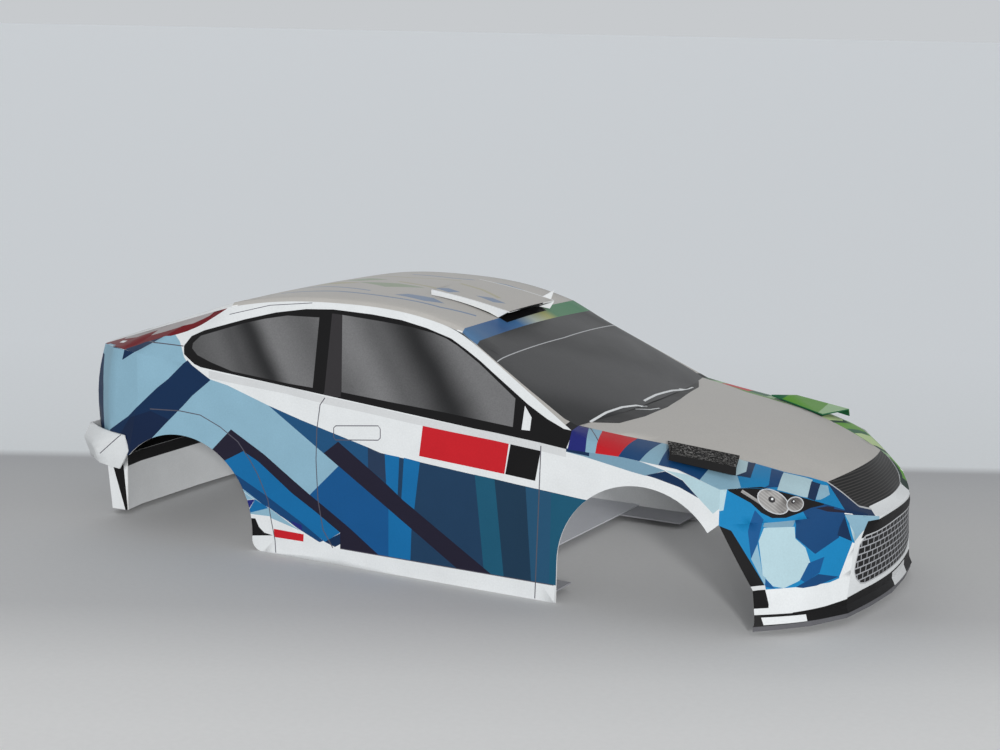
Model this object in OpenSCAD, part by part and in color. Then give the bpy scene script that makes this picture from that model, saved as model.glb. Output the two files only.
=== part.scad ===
// Card model of a rally hatchback: a glued body shell that stands on its sills.
// +X is the nose, +Y the left side, +Z up. The origin is under the middle of the shell, on the table.

/* [Length and width] */
// Distance between the front and the rear arch centres
wheelbase = 110; // [90:1:135]
// From the front arch centre to the nose
front_overhang = 39.5; // [39:0.5:46]
// From the rear arch centre to the tail
rear_overhang = 33.5; // [33:0.5:42]
// Width over the door skins
body_w = 75; // [66:1:92]

/* [Heights] */
// Top of the door skin beside the windscreen's foot
belt_front_z = 31.4; // [31:0.2:34]
// Top of the door skin above the rear arch
belt_rear_z = 39; // [37:0.2:42]
// Foot of the windscreen
cowl_z = 34.9; // [34:0.2:38]
// Top corners of the windscreen
screen_top_z = 50.7; // [48:0.2:60]
// Highest line of the roof's edges
roof_z = 54.4; // [52:0.2:66]
// Rise of the roof's middle above its edges
roof_crown = 0.8; // [0.2:0.1:2]
// Upper corners of the tail
tail_z = 40.1; // [39:0.2:43]
// Front edge of the bonnet at its corners
bonnet_front_z = 26.6; // [25.6:0.2:28]

/* [Wheel arches] */
// Radius of the front arches
front_arch_r = 17.5; // [14:0.1:18.5]
// Height of the front arch centres
front_arch_z = 8.4; // [6:0.1:9]
// Radius of the rear arches
rear_arch_r = 19.3; // [16:0.1:20]
// Height of the rear arch centres
rear_arch_z = 3.6; // [3:0.1:6]

/* [Card] */
// Thickness of the card
card = 0.3; // [0.2:0.05:0.5]
// Height of the floor plate's underside above the table
floor_z = 1.6; // [1:0.1:3]
// Width of the glue flaps along the sills
flap_w = 9.5; // [6:0.5:14]

/* [Roof scoop] */
// Width of the scoop over its walls
scoop_w = 20.6; // [14:0.2:28]
// Length of the scoop
scoop_l = 19; // [13:0.5:24]

/* [Hidden] */
$fn = 96;

// Hairline left between pieces that only lie against each other
seam = 0.06;

// Stations along the body
half_w = body_w / 2;
nose_x = (front_overhang + wheelbase + rear_overhang) / 2;
front_x = nose_x - front_overhang;
rear_x = front_x - wheelbase;
tail_x = rear_x - rear_overhang;

// Cabin: foot and head of the windscreen, rear end of the roof
cowl_x = front_x - 16.3;
screen_top_x = front_x - 46.1;
roof_end_x = rear_x + 8.5;
roof_end_drop = 2.6;
tail_corner_x = tail_x + 7.2;
cowl_y = half_w - 6.1;
tail_y = half_w - 8.5;

// Ends of the door skin: the flare ends on a radius of the front arch
flare_angle = 36.6;
flare_end_x = front_x + front_arch_r * cos(flare_angle);
flare_end_z = front_arch_z + front_arch_r * sin(flare_angle);
side_end_x = flare_end_x + 2.2;
side_end_z = flare_end_z + 1.9;
shoulder_end_z = bonnet_front_z + 0.9;
side_rear_x = rear_x - 11.5;

// Directions in which the card's thickness goes, for pieces on the left side
IN_SIDE = [0, -1, 0];
IN_DOWN = [0, 0, -1];

// A vertex is [outer point, inward direction]; its inner point lies one card thickness along it.
// A row is a list of vertices. Pieces that meet share the same vertices, so they meet face to face.
function inner(v) = v[0] + card * v[1];
function blend(a, b, t) = a + (b - a) * t;
function mirrored(row) = [for (v = row) [[v[0].x, -v[0].y, v[0].z], [v[1].x, -v[1].y, v[1].z]]];
function reversed(row) = [for (i = [len(row) - 1:-1:0]) row[i]];
function both(row) = concat(mirrored(row), reversed([for (i = [0:len(row) - 2]) row[i]]));
function towards(p, target) = (target - p) / norm(target - p);

// Aim of the card's thickness in the front end and in the tail
front_core = [front_x + 10, 0, 13];
rear_core = [rear_x - 8, 0, 22];
function front_v(p) = [p, 1.1 * towards(p, front_core)];
function rear_v(p) = [p, 1.1 * towards(p, rear_core)];

// A bent sheet of card over a grid of rows
module sheet(rows) {
    n = len(rows[0]);
    m = len(rows);
    k = n * m;
    outer_points = [for (r = rows) for (v = r) v[0]];
    inner_points = [for (r = rows) for (v = r) inner(v)];
    turned = cross(rows[1][0][0] - rows[0][0][0], rows[0][1][0] - rows[0][0][0]) * rows[0][0][1] < 0;
    skin = [for (i = [0:m - 2]) for (j = [0:n - 2])
        for (f = [[i * n + j, i * n + j + 1, (i + 1) * n + j + 1],
                  [i * n + j, (i + 1) * n + j + 1, (i + 1) * n + j]]) f];
    rim = concat([for (j = [0:n - 2]) [j + 1, j]], [for (i = [0:m - 2]) [i * n, (i + 1) * n]],
        [for (j = [0:n - 2]) [(m - 1) * n + j, (m - 1) * n + j + 1]],
        [for (i = [0:m - 2]) [(i + 2) * n - 1, (i + 1) * n - 1]]);
    faces = concat(skin, [for (f = skin) [f[0] + k, f[2] + k, f[1] + k]],
        [for (e = rim) for (f = [[e[0], e[1], e[1] + k], [e[0], e[1] + k, e[0] + k]]) f]);
    polyhedron(concat(outer_points, inner_points),
        turned ? [for (f = faces) [f[0], f[2], f[1]]] : faces);
}

module on_side(side) {
    if (side < 0) mirror([0, 1, 0]) children();
    else children();
}

// ---- Lines of the cabin, left side ----

ROOF_STEPS = 10;
CORNER_STEPS = 4;
PILLAR_STEPS = 3;
function belt_z(x) = belt_front_z + (belt_rear_z - belt_front_z) * (cowl_x - 1 - x) / (cowl_x - 1 - rear_x);

// Roof, with t from -1 at its rear end to 1 at the windscreen
function roof_x(t) = blend(roof_end_x, screen_top_x, (t + 1) / 2);
function roof_edge_y(t) = half_w - 11.7 - 1.9 * t + 1.1 * t * t;
function roof_edge_z(t) = roof_z - (t > 0 ? roof_z - screen_top_z : roof_end_drop) * pow(abs(t), 2.5);
function roof_slant(t) = -0.42 * t;
function roof_edge(t) = [[roof_x(t), roof_edge_y(t), roof_edge_z(t)], [roof_slant(t), -0.15, -0.95]];
function roof_rail(t) = [[roof_x(t), roof_edge_y(t) + 0.95, roof_edge_z(t) - 0.8],
    [roof_slant(t) / 2, -0.75, -0.7]];
function roof_mid(t) = [[roof_x(t), 0, roof_edge_z(t) + roof_crown * (1 - 0.5 * pow(abs(t), 3))],
    [roof_slant(t), 0, -0.95]];
function roof_quarter(t) = [[roof_x(t), roof_edge_y(t) / 2,
    blend(roof_mid(t)[0].z, roof_edge_z(t), 0.3)], [roof_slant(t), 0, -0.95]];

// Windscreen pillar, with u from 0 at the top to 1 at the foot
function screen_point(u, y, extra_x, extra_z) = [blend(screen_top_x, cowl_x, u) + extra_x, y,
    blend(screen_top_z, cowl_z, u) + extra_z];
function screen_v(u, y, extra_x, extra_z) = [screen_point(u, y, extra_x, extra_z), [-0.42, 0, -0.95]];
SCREEN_BOW = 4.4;
SCREEN_RISE = 0.7;
function pillar_edge(u) = [screen_point(u, blend(roof_edge_y(1), cowl_y, u), 0, 0), [-0.42, -0.15, -0.95]];
function pillar_rail(u) = [screen_point(u, blend(roof_edge_y(1) + 0.95, cowl_y + 3.2, u), 0,
    -blend(0.8, 0.5, u)), [-0.21, -0.75, -0.7]];
function screen_mid(u) = screen_v(u, 0, SCREEN_BOW * u,
    SCREEN_RISE * u + roof_crown / 2 * (1 - u));
function screen_quarter(u) = screen_v(u, blend(roof_edge_y(1), cowl_y, u) / 2, 0.78 * SCREEN_BOW * u,
    0.75 * SCREEN_RISE * u + blend(0.35 * roof_crown, 0, u));

// Rear pillar, with w from 0 at the roof to 1 at the tail's upper corner
function tail_edge_point(w) = [blend(roof_end_x, tail_corner_x, w), blend(roof_edge_y(-1), tail_y, w),
    blend(roof_z - roof_end_drop, tail_z, w)];
function tail_edge(w) = [tail_edge_point(w), [0.35, -0.15, -0.95]];
function tail_rail(w) = [tail_edge_point(w) + [0, blend(0.95, 0.75, w), -blend(0.8, 0.3, w)],
    [0.21, -0.75, -0.7]];
function tail_mid(w) = [tail_edge_point(w) + [-2.6 * w, -tail_edge_point(w).y,
    roof_crown * (0.5 + 0.4 * w)], [0.35, 0, -0.95]];
function tail_quarter(w) = [tail_edge_point(w) + [-1.9 * w, -tail_edge_point(w).y / 2,
    roof_crown * (0.35 + 0.3 * w)], [0.35, 0, -0.95]];

// Foot of the window band, from the windscreen's foot to the tail's corner
BELT_TAIL = [[side_rear_x, half_w, belt_z(side_rear_x)], [tail_x + 14.5, half_w - 1.4, tail_z + 0.3],
    [tail_x + 7.9, half_w - 6.3, tail_z - 0.2]];
function belt_v(x) = [[x, half_w, belt_z(x)], IN_SIDE];

RAIL_ROW = concat([for (i = [PILLAR_STEPS:-1:1]) pillar_rail(i / PILLAR_STEPS)],
    [for (i = [ROOF_STEPS:-1:0]) roof_rail(i * 2 / ROOF_STEPS - 1)],
    [for (i = [1:CORNER_STEPS]) tail_rail(i / CORNER_STEPS)]);
BELT_ROW_COUNT = len(RAIL_ROW) - 2;
BELT_ROW = concat([for (i = [0:BELT_ROW_COUNT - 1])
        belt_v(blend(cowl_x + 0.6, side_rear_x, i / (BELT_ROW_COUNT - 1)))],
    [[BELT_TAIL[1], [0.3, -0.95, 0]], [BELT_TAIL[2], [0.75, -0.65, 0]]]);

// ---- Cabin ----

module roof() {
    color("gainsboro")
        sheet([for (i = [0:ROOF_STEPS]) let (t = i * 2 / ROOF_STEPS - 1)
            both([roof_rail(t), roof_edge(t), roof_quarter(t), roof_mid(t)])]);
}

module windscreen() {
    color("dimgray")
        sheet([for (i = [0:PILLAR_STEPS]) let (u = i / PILLAR_STEPS)
            both([i == 0 ? roof_rail(1) : pillar_rail(u), i == 0 ? roof_edge(1) : pillar_edge(u),
                i == 0 ? roof_quarter(1) : screen_quarter(u), i == 0 ? roof_mid(1) : screen_mid(u)])]);
}

module tailgate() {
    color("dimgray")
        sheet([for (i = [0:CORNER_STEPS]) let (w = i / CORNER_STEPS)
            both([i == 0 ? roof_rail(-1) : tail_rail(w), i == 0 ? roof_edge(-1) : tail_edge(w),
                i == 0 ? roof_quarter(-1) : tail_quarter(w), i == 0 ? roof_mid(-1) : tail_mid(w)])]);
}

module window_band(side) {
    color("black") on_side(side) sheet([RAIL_ROW, BELT_ROW]);
}

// ---- Sides ----

sill_round = 2.4;
sill_rear_x = rear_x + sqrt(pow(rear_arch_r, 2) - pow(sill_round - rear_arch_z, 2));

// What is cut away to round the rear lower corner of the sill
module sill_corner() {
    translate([sill_rear_x - 1, -1]) difference() {
        square([sill_round + 1, sill_round + 1]);
        translate([sill_round + 1, sill_round + 1]) circle(sill_round);
    }
}

module side_skin(side) {
    outline = concat([[front_x - front_arch_r, 0], [front_x - front_arch_r, front_arch_z],
        [front_x, front_arch_z], [flare_end_x, flare_end_z], [side_end_x, side_end_z],
        [side_end_x, shoulder_end_z]],
        [for (i = [2:-1:1]) [FENDER_OUTER[i][0].x, FENDER_OUTER[i][0].z]],
        [for (i = [0:BELT_ROW_COUNT - 1]) [BELT_ROW[i][0].x, BELT_ROW[i][0].z]],
        [[side_rear_x, REAR_LEVELS[1]], [rear_cut_x, rear_cut_z], [rear_x, rear_arch_z], [rear_x, 0]]);
    color("steelblue") on_side(side) difference() {
        translate([0, half_w, 0]) rotate([90, 0, 0]) linear_extrude(card) polygon(outline);
        for (arch = [[front_x, front_arch_z, front_arch_r], [rear_x, rear_arch_z, rear_arch_r]])
            translate([arch[0], half_w + 1, arch[1]]) rotate([90, 0, 0])
                cylinder(r = arch[2], h = card + 2);
        translate([0, half_w + 1, 0]) rotate([90, 0, 0]) linear_extrude(card + 2) sill_corner();
    }
}

// ---- Tail ----

REAR_LEVELS = [tail_z, 30, 14];
rear_cut_x = rear_x - 14.2;
rear_cut_z = rear_arch_z + sqrt(pow(rear_arch_r, 2) - pow(14.2, 2));

// Rows of the wrapped corner, from the top down
CORNER_ROWS = [
    [BELT_ROW[BELT_ROW_COUNT - 1], BELT_ROW[BELT_ROW_COUNT], BELT_ROW[BELT_ROW_COUNT + 1]],
    [[[side_rear_x, half_w, REAR_LEVELS[1]], IN_SIDE],
        [[tail_x + 13, half_w - 1, REAR_LEVELS[1]], [0.3, -0.95, 0]],
        [[tail_x + 4.9, half_w - 6, REAR_LEVELS[1]], [0.75, -0.65, 0]]],
    [[[rear_cut_x, half_w, rear_cut_z], IN_SIDE],
        [[tail_x + 12.5, half_w - 2.2, REAR_LEVELS[2] + 1], [0.3, -0.95, 0]],
        [[tail_x + 5.6, half_w - 8, REAR_LEVELS[2]], [0.75, -0.65, 0]]]];

// Row of the tail panel that starts at point p of the wrapped corner
function tail_row(p) = [[p, [0.75, -0.65, 0]], [p + [-0.6, -1.6, 0], [0.95, -0.2, 0]],
    [p + [-1.6, -3.6, 0], [1, 0, 0]], [[p.x - 2.9, half_w / 2 - 4, p.z], [1, 0, 0]],
    [[p.x - 3.3, 0, p.z], [1, 0, 0]]];

module rear_corner(side) {
    color("midnightblue") on_side(side) sheet(CORNER_ROWS);
}

module tail_panel() {
    top = [CORNER_ROWS[0][2], tail_rail(1), tail_edge(1), tail_quarter(1), tail_mid(1)];
    color("lightblue") sheet([both(top), for (i = [1:2]) both(tail_row(CORNER_ROWS[i][2][0]))]);
}

// ---- Front end ----

shoulder_z = belt_front_z - 0.2;
// Crease between the bonnet and the fender top
BONNET_CREASE = [pillar_edge(1),
    [[front_x - 4, half_w - 7.9, cowl_z - 1.7], IN_DOWN],
    [[front_x + 7.3, half_w - 11.3, cowl_z - 2.7], IN_DOWN],
    [[side_end_x, half_w - 14.5, cowl_z - 4.5], IN_DOWN],
    [[nose_x - 17.5, half_w - 16.8, cowl_z - 6.1], IN_DOWN],
    [[nose_x - 13, half_w - 18.6, bonnet_front_z + 1.1], IN_DOWN],
    [[nose_x - 9.5, half_w - 20.6, bonnet_front_z], [-0.45, -0.1, -0.95]]];
FENDER_MID = [pillar_rail(1),
    [[front_x - 4, half_w - 3.6, cowl_z - 2.1], IN_DOWN],
    [[front_x + 7.3, half_w - 4.6, cowl_z - 3.4], IN_DOWN],
    [[side_end_x, half_w - 6.5, cowl_z - 5.3], IN_DOWN],
    [[nose_x - 17.5, half_w - 11.5, cowl_z - 6.4], IN_DOWN],
    [[nose_x - 12.5, half_w - 15.2, bonnet_front_z + 0.4], [-0.2, -0.2, -1]],
    front_v([nose_x - 7.3, half_w - 19.5, bonnet_front_z - 2])];
FENDER_OUTER = [BELT_ROW[0],
    [[front_x - 4, half_w, shoulder_z], IN_SIDE], [[front_x + 7.3, half_w, shoulder_z - 1], IN_SIDE],
    [[side_end_x, half_w, shoulder_end_z], IN_SIDE],
    front_v([nose_x - 17.5, half_w - 6.5, bonnet_front_z + 0.9]),
    front_v([nose_x - 11.5, half_w - 12, bonnet_front_z - 1.4]),
    front_v([nose_x - 5, half_w - 18.5, bonnet_front_z - 4.4])];
// Rises of the bonnet's middle above its creases, and how far it bows forward
BONNET_RISE = [SCREEN_RISE, 1.6, 1.6, 1.7, 1.6, 1.2, 0.8];
BONNET_BOW = [SCREEN_BOW, 3.6, 2.6, 2.4, 2.4, 2.4, 2.5];

function bonnet_row(i) = let (v = BONNET_CREASE[i])
    i == 0 ? [v, screen_quarter(1), screen_mid(1)]
    : [v, [[v[0].x + 0.75 * BONNET_BOW[i], v[0].y / 2, v[0].z + 0.75 * BONNET_RISE[i]], v[1]],
        [[v[0].x + BONNET_BOW[i], 0, v[0].z + BONNET_RISE[i]], v[1]]];

module bonnet() {
    color("whitesmoke") sheet([for (i = [0:len(BONNET_CREASE) - 1]) both(bonnet_row(i))]);
}

module fender_top(side) {
    color("skyblue") on_side(side) sheet([BONNET_CREASE, FENDER_MID, FENDER_OUTER]);
}

// Lower edge of the headlight strip, from the door skin's end to the nose
LAMP_FOOT = [[[side_end_x, half_w, side_end_z], IN_SIDE],
    front_v([nose_x - 17, half_w - 6, side_end_z - 0.2]),
    front_v([nose_x - 11.2, half_w - 11.3, side_end_z + 0.2]),
    front_v([nose_x - 4.9, half_w - 18.2, side_end_z + 0.7])];

module headlight(side) {
    color("black") on_side(side) sheet([[for (i = [3:6]) FENDER_OUTER[i]], LAMP_FOOT]);
}

// Bumper corner below the headlight: rows from the top down, columns from the arch to the nose
bumper_foot_z = 4;
splitter_foot_z = 1.5;
splitter_lift = 1.2;
grille_foot_z = 8.3;
BUMPER_ROWS = [LAMP_FOOT,
    [front_v([side_end_x + 3.6, half_w - 0.1, 14.6]), front_v([nose_x - 14, half_w - 5, 14.1]),
        front_v([nose_x - 9, half_w - 11, 14.8]), front_v([nose_x - 3.1, half_w - 20.1, 17])],
    [front_v([side_end_x + 7.1, half_w - 0.5, 9]), front_v([nose_x - 12, half_w - 4.5, 8.5]),
        front_v([nose_x - 7.5, half_w - 9.5, grille_foot_z]),
        front_v([nose_x - 3.2, half_w - 18, grille_foot_z])],
    [front_v([side_end_x + 7.3, half_w - 1.4, bumper_foot_z]),
        front_v([nose_x - 12, half_w - 4.7, bumper_foot_z]),
        front_v([nose_x - 7.5, half_w - 9.3, bumper_foot_z]),
        front_v([nose_x - 3.2, half_w - 17, bumper_foot_z])]];

module bumper_corner(side) {
    color("dodgerblue") on_side(side) sheet(BUMPER_ROWS);
}

// Nose between the headlights, from the bonnet's edge down to the number plate's foot
plate_foot_z = 19.7;
NOSE_FOOT = [LAMP_FOOT[3], front_v([nose_x - 0.5, half_w - 26.5, plate_foot_z]),
    front_v([nose_x, 0, plate_foot_z])];
NOSE_TOP = bonnet_row(6);

module nose_panel() {
    rows = [NOSE_TOP,
        [FENDER_MID[6], front_v([nose_x - 5, half_w - 28, bonnet_front_z - 2.4]),
            front_v([nose_x - 4.5, 0, bonnet_front_z - 2.2])],
        [FENDER_OUTER[6], front_v([nose_x - 3.1, half_w - 28.4, plate_foot_z + 1.6]),
            front_v([nose_x - 2.1, 0, plate_foot_z + 1.8])],
        NOSE_FOOT];
    color("dimgray") sheet([for (r = rows) both(r)]);
}

// Front of the bumper with the lower grille
FRONT_ROWS = [NOSE_FOOT,
    [BUMPER_ROWS[1][3], front_v([nose_x - 0.8, half_w - 26.5, 17.8]), front_v([nose_x - 0.3, 0, 17.8])],
    [BUMPER_ROWS[2][3], front_v([nose_x - 1.6, half_w - 26.5, grille_foot_z]),
        front_v([nose_x - 0.8, 0, grille_foot_z])],
    [BUMPER_ROWS[3][3], front_v([nose_x - 1.7, half_w - 26.5, bumper_foot_z]),
        front_v([nose_x - 0.9, 0, bumper_foot_z])]];

module bumper_front() {
    color("silver") sheet([for (r = FRONT_ROWS) both(r)]);
}

// Splitter strip below the bumper, leaning out at its foot, which rises towards the nose
splitter_lean = 0.7;
function splitter_foot(v) = let (out = [v[0].x - front_core.x, v[0].y, 0],
    rise = splitter_lift * (v[0].x - side_end_x) / (nose_x - side_end_x))
    front_v([v[0].x, v[0].y, splitter_foot_z + rise] + splitter_lean * out / norm(out));

module splitter_side(side) {
    row = BUMPER_ROWS[3];
    color("black") on_side(side) sheet([row, [for (v = row) splitter_foot(v)]]);
}

module splitter_front() {
    row = FRONT_ROWS[3];
    color("black") sheet([both(row), both([for (v = row) splitter_foot(v)])]);
}

// Vent box on the fender top: a folded strip, high on its outer edge
module vent_box(side) {
    rows = [
        [[[front_x + 1.4, half_w - 9.2, cowl_z - 1.5], IN_DOWN],
            [[side_end_x - 1.6, half_w - 13.5, cowl_z - 3.6], IN_DOWN]],
        [[[front_x + 4.8, half_w - 2.3, cowl_z - 2.3], [0, -0.8, -0.8]],
            [[side_end_x + 1.3, half_w - 4.3, cowl_z - 3.7], [0, -0.8, -0.8]]],
        [[[front_x + 4.9, half_w - 1.8, cowl_z - 3.5], IN_SIDE],
            [[side_end_x + 1.4, half_w - 3.9, cowl_z - 5.3], IN_SIDE]]];
    color("black") on_side(side) sheet(rows);
}

// ---- Roof scoop ----

SCOOP_STEPS = 8;
scoop_front_x = screen_top_x + 2.5;
scoop_rear_x = scoop_front_x - scoop_l;
scoop_y = scoop_w / 2;
function roof_t(x) = (x - roof_end_x) / (screen_top_x - roof_end_x) * 2 - 1;
function roof_top(x, y) = blend(roof_mid(min(1, roof_t(x)))[0].z, roof_edge_z(min(1, roof_t(x))),
    0.6 * y / roof_edge_y(0));
scoop_rear_z = roof_top(scoop_rear_x, 0) + 1.0;
scoop_front_z = screen_top_z + 1.9;
scoop_bulge = 0.3;
scoop_clear = 0.6;

// The scoop's plate from its rear edge (t = 0) to its mouth (t = 1), always clear of the roof
function scoop_x(t) = blend(scoop_rear_x, scoop_front_x, t);
function scoop_z(t) = max(blend(scoop_rear_z, scoop_front_z, t) + scoop_bulge * sin(180 * t),
    roof_top(scoop_x(t), 0) + scoop_clear);

module scoop_top() {
    rows = [for (i = [0:SCOOP_STEPS]) let (t = i / SCOOP_STEPS)
        [for (y = [-scoop_y, 0, scoop_y])
            [[scoop_x(t), y, scoop_z(t) + (y == 0 ? 0.25 : 0)], [-0.2, 0, -0.98]]]];
    color("gainsboro") sheet(rows);
}

// A wall rests on the roof at its rear, lifts off it, and comes down again on the windscreen's top edge
module scoop_wall(side) {
    lift = 0.4;
    foot = [for (i = [0:SCOOP_STEPS - 2]) let (t = i / SCOOP_STEPS)
        if (scoop_x(t) < screen_top_x - 1.2)
            [scoop_x(t), roof_top(scoop_x(t), scoop_y) + seam + lift * t * t]];
    toe = [[screen_top_x, screen_top_z + 0.5 * roof_crown + seam]];
    rail = [for (i = [SCOOP_STEPS:-1:0]) [scoop_x(i / SCOOP_STEPS), scoop_z(i / SCOOP_STEPS)]];
    color("white") on_side(side) translate([0, scoop_y + seam + card, 0]) rotate([90, 0, 0])
        linear_extrude(card) polygon(concat(foot, toe, rail));
}

// ---- Rear bumper and valance ----

pod_top_z = 21;
pod_mid_z = 17.6;
pod_foot_z = 13.2;
POD_COLUMNS = [
    [[rear_x - 15.6, half_w], [rear_x - 14.4, half_w], [rear_x - 17, half_w]],
    [[tail_x + 9.4, half_w - 2.4], [tail_x + 7.6, half_w - 1.6], [tail_x + 9, half_w - 2.3]],
    [[tail_x + 2.4, half_w - 7.2], [tail_x + 0.6, half_w - 6.8], [tail_x + 2.2, half_w - 7.2]]];
function pod_v(p, z) = [[p[0], p[1], z], towards([p[0], p[1], 0], [rear_core.x + 6, 0, 0])];
function pod_row(level) = let (z = [pod_top_z, pod_mid_z, pod_foot_z][level])
    [for (c = POD_COLUMNS) pod_v(c[level], z)];

module rear_bumper_end(side) {
    color("white") on_side(side) sheet([for (level = [0:2]) pod_row(level)]);
}

module rear_bumper_middle() {
    rows = [for (level = [0:2]) [pod_row(level)[2],
        pod_v([tail_x + [1.6, 0.1, 1.4][level], half_w - 22], [pod_top_z, pod_mid_z, pod_foot_z][level]),
        pod_v([tail_x + [1.4, 0, 1.2][level], 0], [pod_top_z, pod_mid_z, pod_foot_z][level])]];
    color("white") sheet([for (r = rows) both(r)]);
}

valance_foot_z = 1;
valance_top_z = REAR_LEVELS[2] - seam;
valance_lean = 1.6;
valance_y = half_w - 8.8;
VALANCE_PLAN = [[tail_x + 5.4, valance_y], [tail_x + 3.4, valance_y - 8], [tail_x + 2.5, 0]];

module rear_valance() {
    rows = [for (level = [[valance_top_z, 0], [valance_foot_z, valance_lean]])
        [for (p = VALANCE_PLAN) [[p[0] + level[1], p[1], level[0]],
            [0.95, p[1] > valance_y - 1 ? -0.5 : 0, 0]]]];
    color("white") sheet([for (r = rows) both(r)]);
}

inner_wall_x = tail_x + 9.6;
module rear_valance_end(side) {
    rows = [for (z = [valance_top_z, valance_foot_z]) let (back = z == valance_foot_z ? valance_lean : 0)
        [[[VALANCE_PLAN[0][0] + back, valance_y, z], [0.95, -0.5, 0]],
            [[inner_wall_x + 1.6, valance_y - 0.2, z], IN_SIDE]]];
    color("white") on_side(side) sheet(rows);
}

module rear_inner_wall() {
    wall_y = half_w - 15.4;
    rows = [for (z = [valance_top_z, valance_foot_z])
        [[[inner_wall_x + 1.6, valance_y - 0.2 - seam - card, z], [-1, 0, 0]],
            [[inner_wall_x + 0.5, wall_y, z], [-1, 0, 0]], [[inner_wall_x, 0, z], [-1, 0, 0]]]];
    color("white") sheet([for (r = rows) both(r)]);
}

// ---- Underside ----

flap_front_x = front_x - front_arch_r - 1.5;
flap_rear_x = rear_x + rear_arch_r + 6;
floor_front_x = flap_front_x - 14.5;

module sill_flap(side) {
    color("white") on_side(side)
        translate([flap_rear_x, half_w - card - seam - flap_w, floor_z - card - seam])
            cube([flap_front_x - flap_rear_x, flap_w, card]);
}

module floor_plate() {
    inside_w = body_w - 2 * (card + seam);
    color("white") translate([flap_rear_x, -inside_w / 2, floor_z])
        cube([floor_front_x - flap_rear_x, inside_w, card]);
}

roof();
windscreen();
tailgate();
tail_panel();
side_skin(-1);  // side_right
side_skin(1);  // side_left
window_band(-1);  // window_band_right
window_band(1);  // window_band_left
rear_corner(-1);  // rear_corner_right
rear_corner(1);  // rear_corner_left
bonnet();
fender_top(-1);  // fender_top_right
fender_top(1);  // fender_top_left
headlight(-1);  // headlight_right
headlight(1);  // headlight_left
nose_panel();
bumper_corner(-1);  // bumper_corner_right
bumper_corner(1);  // bumper_corner_left
bumper_front();
splitter_front();
splitter_side(-1);  // splitter_right
splitter_side(1);  // splitter_left
vent_box(-1);  // vent_box_right
vent_box(1);  // vent_box_left
scoop_top();
scoop_wall(-1);  // scoop_wall_right
scoop_wall(1);  // scoop_wall_left
rear_bumper_middle();
rear_bumper_end(-1);  // rear_bumper_right
rear_bumper_end(1);  // rear_bumper_left
rear_valance();
rear_valance_end(-1);  // rear_valance_end_right
rear_valance_end(1);  // rear_valance_end_left
rear_inner_wall();
sill_flap(-1);  // sill_flap_right
sill_flap(1);  // sill_flap_left
floor_plate();
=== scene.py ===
"""Looks of the card rally car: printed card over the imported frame, a pale floor, soft light, the camera."""
import bpy
import bmesh
import math
from mathutils import Matrix, Vector


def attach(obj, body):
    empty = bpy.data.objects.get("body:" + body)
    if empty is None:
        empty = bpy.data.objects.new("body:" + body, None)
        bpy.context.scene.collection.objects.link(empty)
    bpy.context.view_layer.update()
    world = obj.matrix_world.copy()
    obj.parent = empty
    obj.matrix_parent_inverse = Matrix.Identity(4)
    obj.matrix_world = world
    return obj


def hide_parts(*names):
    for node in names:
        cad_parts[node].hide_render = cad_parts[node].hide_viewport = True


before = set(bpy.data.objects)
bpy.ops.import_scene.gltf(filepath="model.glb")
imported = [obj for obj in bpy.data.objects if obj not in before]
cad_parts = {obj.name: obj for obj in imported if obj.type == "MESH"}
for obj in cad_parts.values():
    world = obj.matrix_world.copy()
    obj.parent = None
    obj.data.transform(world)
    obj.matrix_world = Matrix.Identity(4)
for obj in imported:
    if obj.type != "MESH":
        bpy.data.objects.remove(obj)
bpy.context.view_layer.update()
MM = 0.001
BODY = "root"
RIGHT, LEFT = -1, 1  # the side of the car, as the sign of y
CARD = 0.3 * MM  # thickness

# ---------------------------------------------------------------- colours and materials


def linear(rgb):
    """Colour written as 0-255 display values, as the shader wants it."""
    return tuple((c / 255 / 12.92) if c <= 10.3 else ((c / 255 + 0.055) / 1.055) ** 2.4 for c in rgb) + (1.0,)


MIX_INPUTS, MIX_RESULT = (0, 6, 7), 2  # factor, both colours and the result among a Mix node's sockets
BUMP_STRENGTH = 0.6


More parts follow.
